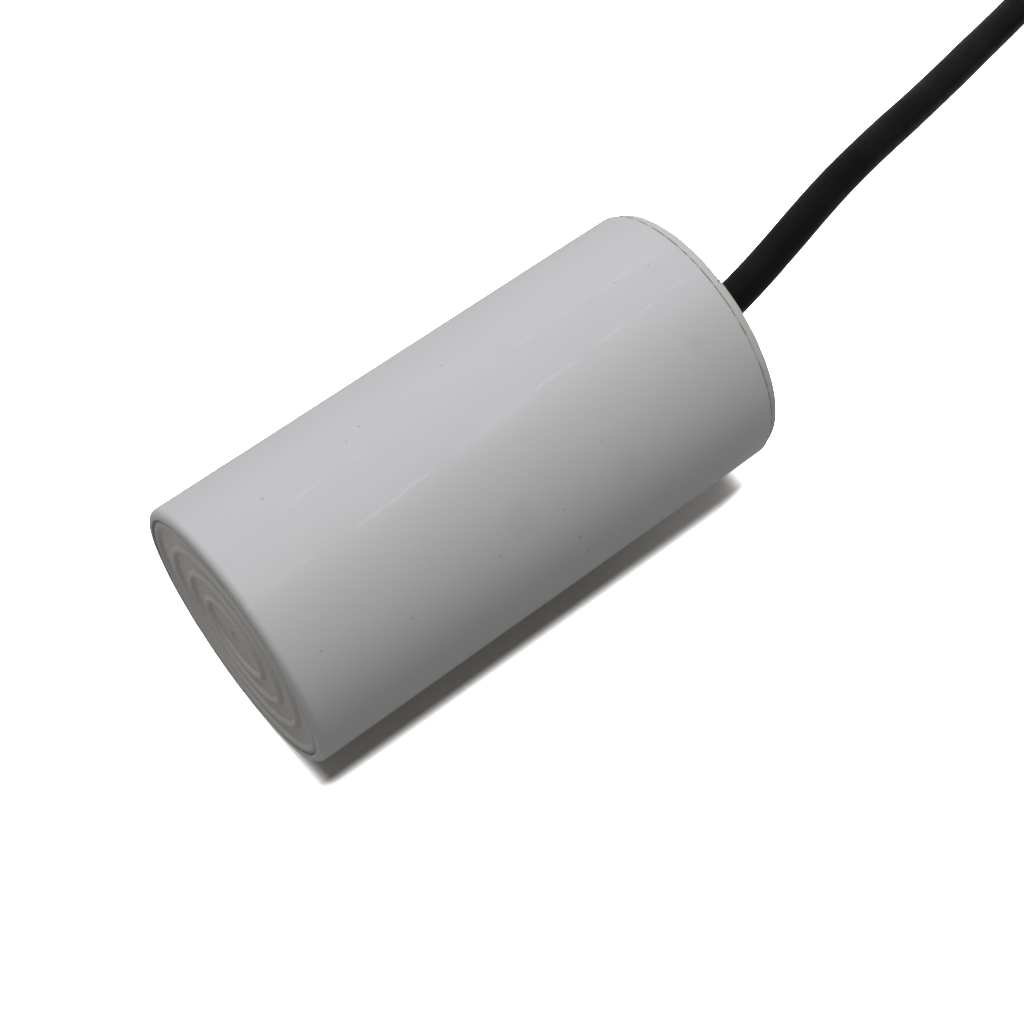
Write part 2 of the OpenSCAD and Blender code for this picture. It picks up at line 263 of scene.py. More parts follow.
def smooth_line(points, spacing):
    """Points about evenly spaced on a smooth curve that passes through all the given ones."""
    ends = [points[0] * 2 - points[1], *points, points[-1] * 2 - points[-2]]
    line = []
    for before, here, there, after in zip(ends, ends[1:], ends[2:], ends[3:]):
        steps = max(1, round((there - here).length / spacing))
        for k in range(steps):
            t = k / steps
            line.append(0.5 * (2 * here + (there - before) * t
                               + (2 * before - 5 * here + 4 * there - after) * t ** 2
                               + (3 * here - before - 3 * there + after) * t ** 3))
    return line + [points[-1]]


def length_of(line):
    """The length of a line of points."""
    return sum((b - a).length for a, b in zip(line, line[1:]))


LEAD_SPACING = 1.5 * MM
free_stretch = smooth_line(route, LEAD_SPACING)
print("free stretch:", round(length_of(free_stretch) / MM, 1), "mm")

# %% Work out the coil
COIL_RADIUS = 35 * MM
TURN_ROOM = 6.3 * MM
COIL_TURN = math.radians(15)
COIL_SWEEP = 660
TIE_SWEEP = 130
REST_GAP = 0.05 * MM
TIE_HOLDS = 40
START_HOLDS = 30
ahead = Vector((math.cos(COIL_TURN), math.sin(COIL_TURN), 0))
aside = Vector((-math.sin(COIL_TURN), math.cos(COIL_TURN), 0))
coil_start = route[-1]


def coil_lift(sweep):
    """How far the coil is held off the ground: by the strap under it, and where the lead comes in."""
    from_tie = (sweep % 360 - TIE_SWEEP) / TIE_HOLDS
    from_start = sweep / START_HOLDS
    held = max(math.exp(-from_tie ** 2), math.exp(-from_start ** 2))
    return REST_GAP + (TIE_THICKNESS - REST_GAP) * held


def coil_point(sweep):
    """The middle of the lead after it has turned through this many degrees."""
    half = min(int(sweep // 180), 3)
    radius = COIL_RADIUS - half * TURN_ROOM / 2
    centre = -COIL_RADIUS - (TURN_ROOM / 2 if half % 2 else 0)
    angle = math.radians(90 - sweep)
    place = coil_start + ahead * radius * math.cos(angle) + aside * (centre + radius * math.sin(angle))
    place.z = LEAD_RADIUS + coil_lift(sweep)
    return place


coil_line = [coil_point(sweep) for sweep in range(3, COIL_SWEEP + 1, 3)]
lead_line = free_stretch + coil_line

# %% [markdown]
# ## The black sheath
#
# The sheath is soft plastic pressed through a round die. Up close it is not quite
# round: the two twisted cores under it show as a very slow swell that winds
# along it. A curve with a round bevel would be perfectly even, so the sheath is
# swept by hand from rings, and each ring may swell. The rings stay level with the
# ground, because the lead never points straight up.

# %% Sweep the sheath
def sweep_rings(line, radius, sides, swell=None):
    """Rings of places around a line, each square to it."""
    rings = []
    run = 0.0
    for k, middle_place in enumerate(line):
        before, after = line[max(k - 1, 0)], line[min(k + 1, len(line) - 1)]
        forward = (after - before).normalized()
        across = Vector((0, 0, 1)).cross(forward).normalized()
        up = forward.cross(across)
        run += (middle_place - before).length
        ring = []
        for side in range(sides):
            angle = 2 * math.pi * side / sides
            size = radius * (swell(run, angle) if swell else 1)
            ring.append(middle_place + size * (math.cos(angle) * across + math.sin(angle) * up))
        rings.append(ring)
    return rings


def swept(name, line, radius, sides, swell=None):
    """A closed round skin along a line."""
    build = bmesh.new()
    rings = skin(build, sweep_rings(line, radius, sides, swell))
    cap(build, rings[0])
    cap(build, rings[-1])
    return finished_piece(build, name)


SHEATH_SIDES = 36
CORE_LAY = 55 * MM
CORE_SWELL = 0.006
SWELL_PATCH = 7 * MM


def sheath_swell(run, angle):
    """The cores' slow twist, and the small unevenness of a soft sheath."""
    twist = CORE_SWELL * math.cos(2 * (angle - 2 * math.pi * run / CORE_LAY))
    uneven = CORE_SWELL * noise.noise(Vector((run / SWELL_PATCH, math.cos(angle), math.sin(angle))))
    return 1 + twist + uneven


lead_sheath = swept("lead_sheath", lead_line, LEAD_RADIUS, SHEATH_SIDES, sheath_swell)

# %% [markdown]
# ## Black sheath plastic
#
# Soft black plastic reflects little: the shade is nearly zero, and a low
# reflection keeps it black under a white studio. What gives it life is a trace of
# dust, which shows as a few pale grains, and a faint drawn texture. The dust could
# be modelled, but it is far too small, so a cell pattern picks a few cells and
# puts a grain in each.

# %% Make the sheath's finish
DUST_SHADE = (0.10, 0.10, 0.10)


def sheath_finish():
    """Black plastic with a faint haze, a few grains of dust and a fine drawn texture."""
    material, tree, surface, where = new_finish("black_sheath")
    haze = soft_step(tree, cloud(tree, where, 9 * MM, 5), 0.35, 0.75)
    black = two_shades(tree, haze, (0.0032, 0.0032, 0.0036), (0.0062, 0.0062, 0.0066))
    cells = add_node(tree, "ShaderNodeTexVoronoi", {"Vector": where, "Scale": 1 / (2.2 * MM)})
    chosen = soft_step(tree, add_node(tree, "ShaderNodeSeparateColor", {
        "Color": cells.outputs["Color"]}).outputs[0], 0.93, 0.94)
    near = soft_step(tree, cells.outputs["Distance"], 0.09, 0.05)
    dust = calc(tree, "MULTIPLY", calc(tree, "MULTIPLY", chosen, near), 0.5)
    tree.links.new(two_shades(tree, dust, black, DUST_SHADE), surface.inputs["Base Color"])
    gloss = soft_step(tree, cloud(tree, where, 2.5 * MM, 4), 0.3, 0.7, 0.36, 0.5)
    tree.links.new(gloss, surface.inputs["Roughness"])
    grain(tree, surface, cloud(tree, where, 0.5 * MM, 4), 0.012 * MM)
    surface.inputs["Specular IOR Level"].default_value = 0.04
    return material


black_sheath = sheath_finish()
lead_sheath.data.materials.append(black_sheath)
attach(lead_sheath, "root")
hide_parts("lead", "lead_coil")
print("sheath finished:", black_sheath.name)

# %% [markdown]
# ## The two cores
#
# Where the sheath stops, its two insulated cores come out side by side, spread
# apart and lie down on the ground. They start a little inside the sheath, so that
# no gap shows, and end inside the collars of their ferrules.

# %% Sweep the cores
CORE_RADIUS = 1.15 * MM
CUFF_RADIUS = 1.6 * MM
CORE_HELD = 4.5 * MM
CORE_START = -2
CORE_SIDES = 24
CORE_SPACING = 0.7 * MM
# Forward of the sheath's end, towards the middle of the coil, and the share of the drop to go
CORE_STEPS = {
    "brown": [(0, -1.3, 1), (4, -1, 0.92), (8, 0.4, 0.65), (11.5, 2.8, 0.3), (14, 6, 0.08),
              (15.6, 9.6, 0)],
    "blue": [(0, 1.3, 1), (3.5, 1.8, 0.92), (6.8, 3.6, 0.65), (9.2, 6.4, 0.3), (10.5, 9.8, 0.08),
             (11, 13.4, 0)]}
sheath_end = lead_line[-1]
outward_angle = math.radians(90 - COIL_SWEEP) + COIL_TURN
outward = Vector((math.cos(outward_angle), math.sin(outward_angle), 0))
onward = Vector((outward.y, -outward.x, 0))


def core_line(steps):
    """The middle of a core, from inside the sheath to inside its ferrule, and its last heading."""
    drop = sheath_end.z - CUFF_RADIUS
    first = (CORE_START, steps[0][1], 1)
    places = [sheath_end + onward * (s[0] * MM) - outward * (s[1] * MM)
              + Vector((0, 0, (s[2] - 1) * drop)) for s in [first, *steps]]
    heading = places[-1] - places[-2]
    heading.z = 0
    heading.normalize()
    return smooth_line(places, CORE_SPACING), places[-1], heading


cores = {}
for colour, steps in CORE_STEPS.items():
    line, mouth, heading = core_line(steps)
    core = swept(f"core_{colour}", line + [mouth + heading * CORE_HELD], CORE_RADIUS,
                 CORE_SIDES)
    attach(core, "root")
    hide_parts(f"lead_core_{colour}")
    cores[colour] = (core, mouth, heading)

# %% Colour the cores
core_shades = {"blue": (0.02, 0.10, 0.42), "brown": (0.12, 0.045, 0.018)}
core_finishes = {colour: simple_finish(
    f"core_{colour}_plastic", shade, 0.38, 0.12, 3 * MM, 0.3 * MM, 0.006 * MM)
    for colour, shade in core_shades.items()}
for colour, (core, _, _) in cores.items():
    core.data.materials.append(core_finishes[colour])
print("core finishes:", sorted(core_finishes))

# %% [markdown]
# ## Ferrules
#
# A ferrule is a thin tinned tube with a plastic collar, pressed onto the bare
# strands so that they hold in a terminal. The collar and the sleeve are turned
# shapes, so they are spun from an outline, as on a lathe. The press leaves rows of
# dents in the sleeve. They could be cut with a boolean, but it is simpler to let
# the lathe helper push its points in where the jaws have been.

# %% A lathe for turned pieces
def turned(name, outline, origin, axis, segments, shape=None, build=None, loop=False):
    """Spins an outline of (along, radius) places around an axis.

    Angle 0 points up, and the angle grows towards the axis' right-hand side.
    shape may shift each (along, radius) place, given its angle.
    """
    side = axis.cross(Vector((0, 0, 1))).normalized()
    rings = []
    for along, radius in outline:
        ring = []
        for k in range(segments if radius > 0 else 1):
            angle = 2 * math.pi * k / segments
            a, r = shape(along, radius, angle) if shape and radius > 0 else (along, radius)
            ring.append(origin + axis * a + r * (
                math.cos(angle) * Vector((0, 0, 1)) + math.sin(angle) * side))
        rings.append(ring)
    build = build or bmesh.new()
    skin(build, rings, loop)
    return finished_piece(build, name)


def arc(along, radius, size, start, stop, steps=8):
    """Outline places on part of a circle; angles in degrees, 0 along the axis, 90 outward."""
    return [(along + size * math.cos(a), radius + size * math.sin(a)) for a in (
        math.radians(start + (stop - start) * k / steps) for k in range(steps + 1))]


# %% Spin the ferrules
SLEEVE_RADIUS = 0.85 * MM
STRANDS_RADIUS = 0.55 * MM
FLARE_RADIUS = 1.2 * MM
NOSE_RADIUS = 1.075 * MM
CUFF_LENGTH = 6 * MM
SLEEVE_LENGTH = 8 * MM
CUFF_EDGE = 0.15 * MM
SLEEVE_EDGE = 0.08 * MM
FERRULE_SEGMENTS = 40
TIP = CUFF_LENGTH + SLEEVE_LENGTH
DENT_PITCH = 1.3 * MM
DENT_DEPTH = 0.11 * MM


def pressed(along, radius, angle):
    """The dents of the crimping jaws: rows along the sleeve, deepest on its four flats."""
    into = (along - CUFF_LENGTH - 1 * MM) / DENT_PITCH
    if not 0 < into < 5:
        return along, radius
    row = math.sin(math.pi * into) ** 2
    flat = 0.5 - 0.5 * math.cos(4 * angle)
    return along, radius - DENT_DEPTH * flat * (0.35 + 0.65 * row)


def sleeve_outline():
    """The sleeve in section: flared in the collar, straight to the tip, and hollow."""
    outside = [(CORE_HELD, FLARE_RADIUS), (CUFF_LENGTH, SLEEVE_RADIUS)]
    steps = 60
    outside += [(CUFF_LENGTH + SLEEVE_LENGTH * k / steps, SLEEVE_RADIUS) for k in range(1, steps)]
    mouth = arc(TIP - SLEEVE_EDGE, SLEEVE_RADIUS - SLEEVE_EDGE, SLEEVE_EDGE, 90, 0, 3)
    wall = SLEEVE_RADIUS - STRANDS_RADIUS
    inside = [(TIP, STRANDS_RADIUS), (CUFF_LENGTH, STRANDS_RADIUS), (CORE_HELD, FLARE_RADIUS - wall)]
    return outside + mouth + inside


cuff_outline = [
    (CUFF_EDGE, FLARE_RADIUS), (0, FLARE_RADIUS + CUFF_EDGE),
    *arc(CUFF_EDGE, CUFF_RADIUS - CUFF_EDGE, CUFF_EDGE, 180, 90, 4),
    *arc(CORE_HELD, CUFF_RADIUS - 2 * CUFF_EDGE, 2 * CUFF_EDGE, 90, 60, 3),
    *arc(CUFF_LENGTH - CUFF_EDGE, NOSE_RADIUS - CUFF_EDGE, CUFF_EDGE, 60, 0, 4),
    (CUFF_LENGTH, SLEEVE_RADIUS), (CORE_HELD, FLARE_RADIUS)]
tinned = simple_finish("tinned_copper", (0.62, 0.61, 0.58), 0.3, 0.15, 1.5 * MM, 0.2 * MM,
                       0.006 * MM, Metallic=1.0)
cuff_plastic = simple_finish("grey_cuff_plastic", (0.30, 0.31, 0.33), 0.4, 0.08, 2 * MM)
for colour, (_, mouth, heading) in cores.items():
    cuff = turned(f"ferrule_cuff_{colour}_turned", cuff_outline, mouth, heading,
                  FERRULE_SEGMENTS, loop=True)
    sleeve = turned(f"ferrule_sleeve_{colour}_pressed", sleeve_outline(), mouth, heading,
                    FERRULE_SEGMENTS, pressed, loop=True)
    for piece, node, slot, finish in (
            (cuff, f"ferrule_cuff_{colour}", "cuff_grey", cuff_plastic),
            (sleeve, f"ferrule_sleeve_{colour}", "sleeve_tin", tinned)):
        piece.data.materials.append(finish)
        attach(piece, "root")
        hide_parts(node)

# %% [markdown]
# ## Bare strands
#
# Seen from its tip, a ferrule shows the ends of the fine wires in it. One solid
# rod would look wrong there, so each bundle is seven wires: one in the middle
# and six around it, cut a little unevenly.

# %% Bundle the strands
WIRE_RADIUS = 0.18 * MM
WIRE_SIDES = 12
copper = simple_finish("bright_copper", (0.72, 0.36, 0.20), 0.25, 0.2, 1 * MM, 0.1 * MM,
                       0.004 * MM, Metallic=1.0)
for index, (colour, (_, mouth, heading)) in enumerate(cores.items()):
    across = Vector((0, 0, 1)).cross(heading)
    build = bmesh.new()
    for wire in range(7):
        turn = math.radians(60 * wire)
        off = 2.04 * WIRE_RADIUS if wire else 0
        shift = across * off * math.cos(turn) + Vector((0, 0, off * math.sin(turn)))
        cut = TIP + 0.12 * MM * noise.noise(Vector((wire * 1.7, index * 3.1, 0.4)))
        rings = skin(build, sweep_rings(
            [mouth + shift + heading * CORE_HELD, mouth + shift + heading * cut], WIRE_RADIUS,
            WIRE_SIDES))
        cap(build, rings[0])
        cap(build, rings[-1])
    strands = finished_piece(build, f"strands_{colour}")
    strands.data.materials.append(copper)
    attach(strands, "root")
    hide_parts(f"lead_strand_{colour}")

# %% [markdown]
# ## The coil's tie
#
# A black nylon tie holds the turns together. Its strap runs once around the two
# turns that lie side by side, goes through a small lock on top and is cut off
# just above it. The strap is a flat ribbon that follows the outline of the turns,
# so it is made like the other skins, with a flat ring of eight corners in place
# of a round one. The lock is a box with rounded edges and a slot, shaped by insetting
# and pushing in one face.

# %% Wrap the strap
STRAP_WIDTH = 2.6 * MM
LOCK_SIDE = 4.6 * MM
LOCK_HEIGHT = 3.4 * MM
STRAP_EDGE = 0.25 * MM
tie_local = math.radians(90 - TIE_SWEEP)
tie_outward = ahead * math.cos(tie_local) + aside * math.sin(tie_local)
tie_onward = Vector((0, 0, 1)).cross(tie_outward)
tie_centre = coil_start - aside * COIL_RADIUS
tie_centre.z = COIL_HEIGHT
inner_turn = COIL_RADIUS - TURN_ROOM
between_turns = COIL_RADIUS - TURN_ROOM / 2


def strap_ring(out, up, face_angle, lift=0.0):
    """A flat section with eased corners, at a place in the tie's plane, facing an angle."""
    facing = tie_outward * math.cos(face_angle) + Vector((0, 0, math.sin(face_angle)))
    place = tie_centre + tie_outward * out + Vector((0, 0, up))
    half, thick = STRAP_WIDTH / 2, TIE_THICKNESS / 2
    corners = [(half - STRAP_EDGE, thick), (half, thick - STRAP_EDGE),
               (half, STRAP_EDGE - thick), (half - STRAP_EDGE, -thick),
               (STRAP_EDGE - half, -thick), (-half, STRAP_EDGE - thick),
               (-half, thick - STRAP_EDGE), (STRAP_EDGE - half, thick)]
    return [place + tie_onward * a + facing * (b + (lift if b > 0 else 0)) for a, b in corners]


def strap_places():
    """The strap's route around the turns: two half circles, and the straights that follow."""
    reach = LEAD_RADIUS + TIE_THICKNESS / 2
    for middle_out, start in ((COIL_RADIUS, -90), (inner_turn, 90)):
        for k in range(25):
            angle = math.radians(start + 180 * k / 24)
            yield middle_out + reach * math.cos(angle), reach * math.sin(angle), angle


build = bmesh.new()
skin(build, [strap_ring(*place) for place in strap_places()], loop=True)
tie_strap = finished_piece(build, "tie_strap")

# %% Shape the lock and the tail
LOCK_EASE = 0.5 * MM
LOCK_TAPER = 0.92
SLOT_DEPTH = 0.5 * MM
SLOT_MARGIN = 0.45 * MM
TOOTH_PITCH = 0.45 * MM
TOOTH_HEIGHT = 0.12 * MM


def lock_box(build):
    """The lock: a block whose upper edges are eased, with a slot sunk into its top."""
    made = bmesh.ops.create_cube(build, size=1)["verts"]
    for vert in made:
        a, b, c = vert.co
        taper = LOCK_TAPER if c > 0 else 1.0
        vert.co = (tie_centre + tie_outward * (between_turns + a * LOCK_SIDE * taper)
                   + tie_onward * (b * LOCK_SIDE * taper)
                   + Vector((0, 0, LEAD_RADIUS + (c + 0.5) * LOCK_HEIGHT)))
    bmesh.ops.bevel(build, geom=[e for e in build.edges if all(v in made for v in e.verts)],
                    offset=LOCK_EASE, segments=3, profile=0.6, affect="EDGES")
    top = max(build.faces, key=lambda f: f.calc_center_median().z)
    bmesh.ops.inset_individual(build, faces=[top], thickness=SLOT_MARGIN)
    for vert in top.verts:
        vert.co.z -= SLOT_DEPTH


build = bmesh.new()
lock_box(build)
tail_steps = round((LOCK_HEIGHT + TIE_THICKNESS) / TOOTH_PITCH) * 2
tail = []
for k in range(tail_steps + 1):
    up = LEAD_RADIUS + (LOCK_HEIGHT + TIE_THICKNESS) * k / tail_steps
    tail.append(strap_ring(between_turns, up, 0.0, TOOTH_HEIGHT if k % 2 else 0.0))
tail_rings = skin(build, tail)
cap(build, tail_rings[0])
cap(build, tail_rings[-1])
tie_lock = finished_piece(build, "tie_lock")
nylon = simple_finish("black_nylon", (0.016, 0.016, 0.017), 0.42, 0.15, 4 * MM, 0.5 * MM,
                      0.01 * MM, Specular_IOR_Level=0.35)
for piece in (tie_strap, tie_lock):
    piece.data.materials.append(nylon)
    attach(piece, "root")
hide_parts("coil_tie")
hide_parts("coil_tie")

# %% [markdown]
# ## The can
#
# The can is one moulding: a rounded rim around a shallow recess, four raised rings
# in the recess, a small dimple in the middle where the plastic was fed in, and a
# plain side up to the mouth. It is spun from an outline, with the inside too, so
# that it is a true shell. A mould never gives a perfect cylinder. The wall pulls
# in by a few hundredths of a millimetre as it cools, unevenly, and that is what
# breaks up the gloss. So the outline has rows of points along the side for the
# lathe helper to move.

# %% Draw the can's outline
CAN_WALL = 1.6 * MM
END_WALL = 1.8 * MM
RIM_WIDTH = 1.45 * MM
RIM_ROUND = 1.2 * MM
RECESS = 0.6 * MM
RING_MARGIN = 0.3 * MM
RING_WIDTH = 1.4 * MM
RING_HEIGHT = 0.5 * MM
RING_PITCH = 4.35 * MM
RING_COUNT = 4
GATE_RADIUS = 0.8 * MM
GATE_DEPTH = 0.3 * MM
INNER_EDGE = 0.18 * MM
MOUTH_ROUND = 0.16 * MM
recess_radius = can_radius - RIM_WIDTH
last_ring = recess_radius - RING_MARGIN - RING_WIDTH / 2
ring_radii = [last_ring - k * RING_PITCH for k in reversed(range(RING_COUNT))]


def ring_places(crest):
    """A raised ring in section: a bead with a soft top and a crisp foot."""
    places = []
    for k in range(-8, 9):
        t = k / 8
        places.append((RECESS - RING_HEIGHT * (1 - t * t) ** 0.8, crest + t * RING_WIDTH / 2))
    return places


def can_outline():
    """The can in section, from the middle of its closed end out, along the side and back inside."""
    places = [(RECESS + GATE_DEPTH, 0), (RECESS + 0.8 * GATE_DEPTH, 0.3 * GATE_RADIUS),
              (RECESS + 0.25 * GATE_DEPTH, 0.7 * GATE_RADIUS), (RECESS, GATE_RADIUS)]
    between = GATE_RADIUS
    for crest in ring_radii:
        foot = crest - RING_WIDTH / 2
        places += [(RECESS, between + (foot - between) * k / 5) for k in range(1, 5)]
        places += ring_places(crest)
        between = crest + RING_WIDTH / 2
    places += [(RECESS, recess_radius - 0.05 * MM), (RECESS - 0.05 * MM, recess_radius)]
    places += arc(INNER_EDGE, recess_radius + INNER_EDGE, INNER_EDGE, 270, 180, 4)
    places += arc(RIM_ROUND, can_radius - RIM_ROUND, RIM_ROUND, 180, 90, 12)
    rows = 36
    side = can_length - RIM_ROUND - MOUTH_ROUND
    places += [(RIM_ROUND + side * k / rows, can_radius) for k in range(1, rows)]
    places += arc(can_length - MOUTH_ROUND, can_radius - MOUTH_ROUND, MOUTH_ROUND, 90, 0, 5)
    floor = RECESS + END_WALL
    places += [(can_length, can_radius - CAN_WALL), (floor, can_radius - CAN_WALL), (floor, 0)]
    return places


outline = can_outline()
print("outline of the can:", len(outline), "places, rings at",
      [round(r / MM, 2) for r in ring_radii], "mm")

# %% Spin the can
ROUND_SEGMENTS = 256
WALL_WAVE = 0.035 * MM
WALL_PATCH = 16 * MM
EDGE_WAVE = 0.03 * MM
EDGE_PATCH = 2.2 * MM


def uneven(along, radius, angle, wave):
    """A smooth unevenness that closes on itself around the axis."""
    return noise.noise(Vector((
        along / wave, radius * math.cos(angle) / wave, radius * math.sin(angle) / wave)))


def moulded(along, radius, angle):
    """Sink of the wall along the side, and a slightly ragged rim and mouth."""
    if radius < can_radius - CAN_WALL or along > can_length - 0.01 * MM:
        return along, radius
    on_side = min(1.0, along / (4 * MM))
    sink = WALL_WAVE * (uneven(along, radius, angle, WALL_PATCH) - 0.6) * on_side
    edge = max(0.0, 1 - along / RIM_ROUND)
    ragged = EDGE_WAVE * (uneven(along, radius, angle, EDGE_PATCH) - 0.5) * edge
    return along - min(0.0, ragged), radius + sink


can_origin = Vector((can_low.x, 0, axis_height))
ALONG = Vector((1, 0, 0))
can_shell = turned("can_moulding", outline, can_origin, ALONG, ROUND_SEGMENTS, moulded)

# %% [markdown]
# ## White moulded plastic
#
# The plastic is a cool white with a satin gloss. Two lengthwise lines of streaks
# are painted lighter as highlight along the edges of its sheen, and are smoother
# where scuffed. A handful of dark specks are baked into the plastic, and there are a
# few faint smudges. Painted shade darkens the narrow groove inside the rim and the
# seam at the mouth.
#
# All of these need to know where they are on the can, so the finish first unrolls
# the side into two distances: along the can, and around it. An image wrapped on
# the can could show the same, but it would blur up close and would have to be
# drawn. Distances are exact at any size.

# %% Unroll the can for its finish
def unrolled(tree, where):
    """Distance from the rim, distance around from the top, and radius, as sockets."""
    split = add_node(tree, "ShaderNodeSeparateXYZ", {"Vector": where})
    up = calc(tree, "SUBTRACT", split.outputs["Z"], axis_height)
    near = calc(tree, "MULTIPLY", split.outputs["Y"], -1.0)
    angle = calc(tree, "ARCTAN2", near, up)
    radius = calc(tree, "SQRT", calc(tree, "ADD", calc(tree, "MULTIPLY", up, up),
                                     calc(tree, "MULTIPLY", near, near)))
    along = calc(tree, "SUBTRACT", split.outputs["X"], can_low.x)
    return along, calc(tree, "MULTIPLY", angle, can_radius), radius


def around(degrees):
    """Distance around the can of an angle from its top, positive towards the near side."""
    return math.radians(degrees) * can_radius


def spot(tree, along, round_way, place, angle, size):
    """1 in a soft spot on the side, 0 away from it."""
    off_along = calc(tree, "SUBTRACT", along, place)
    off_round = calc(tree, "SUBTRACT", round_way, around(angle))
    reach = calc(tree, "SQRT", calc(tree, "ADD", calc(tree, "MULTIPLY", off_along, off_along),
                                    calc(tree, "MULTIPLY", off_round, off_round)))
    return soft_step(tree, reach, size, size * 0.35)


def strongest(tree, marks):
    """The largest of several masks."""
    total = marks[0]
    for mark in marks[1:]:
        total = calc(tree, "MAXIMUM", total, mark)
    return total


print("the side unrolls to", round(2 * math.pi * can_radius / MM, 1), "mm around")

# %% Make the can's finish
# Each speck or smudge: mm from the rim, degrees from the top, and radius in mm
SPECKS = [(46, -21, 0.22), (30, -18, 0.24), (27, -15, 0.2), (12, -14, 0.26), (75, -8, 0.18),
          (81, -6, 0.2), (70, -7, 0.16), (48, 56, 0.2), (49, 72, 0.34), (50, 82, 0.34),
          (36, 57, 0.22), (20, 57, 0.2), (6, 47, 0.2), (7, -18, 0.12), (58, 41, 0.14)]
SMUDGES = [(41, 48, 4), (79, 30, 2.2), (60, 56, 3.2)]
# Each line of streaks, scuffed and painted lighter as highlight: degrees from the top at the rim and at the
# mouth, and its strength
SCUFF_AND_SHEEN_LINES = [(19, 7, 1.0), (-5, -10, 0.6)]
# The streaks' lighter shade is a painted highlight
SHEEN_STREAK_SHADE = (0.82, 0.83, 0.84)
SHEEN_STREAK_LIGHT = 0.24
# One dark colour for the specks and smudges, and for the painted shade in the groove and at the seam
DIRT_AND_SHADE_COLOUR = (0.10, 0.095, 0.085)
# How much of that dark colour each kind of mark takes
SPECK_DIRT = 0.42
SMUDGE_DIRT = 0.035
SEAM_SHADE = 0.88
GATE_DARKENING = 0.5
# How much the plastic reflects, on its side and in the recess of its closed end
SIDE_REFLECTION = 0.16
RECESS_REFLECTION = 0.03


def scuff_and_sheen_line(tree, where, along, round_way, start, stop, strength):
    """A thin wandering line of broken streaks, painted lighter as highlight and smoother where scuffed."""
    lean = (around(stop) - around(start)) / can_length
    line = calc(tree, "MULTIPLY_ADD", along, lean, around(start))
    wander = calc(tree, "MULTIPLY_ADD", cloud(tree, where, 12 * MM, 3), 2.6 * MM, -1.3 * MM)
    off = calc(tree, "ABSOLUTE", calc(tree, "SUBTRACT", round_way, calc(tree, "ADD", line, wander)))
    core = soft_step(tree, off, 0.4 * MM, 0.05 * MM)
    halo = soft_step(tree, off, 1.8 * MM, 0.1 * MM)
    broken = soft_step(tree, cloud(tree, where, 2.4 * MM, 4, (0.5, 1.6, 1.6)), 0.48, 0.62)
    halo_patches = soft_step(tree, cloud(tree, where, 9 * MM, 2), 0.42, 0.6)
    marks = calc(tree, "ADD", calc(tree, "MULTIPLY", core, broken),
                 calc(tree, "MULTIPLY", halo, calc(tree, "MULTIPLY", halo_patches, 0.35)))
    return calc(tree, "MULTIPLY", marks, strength)


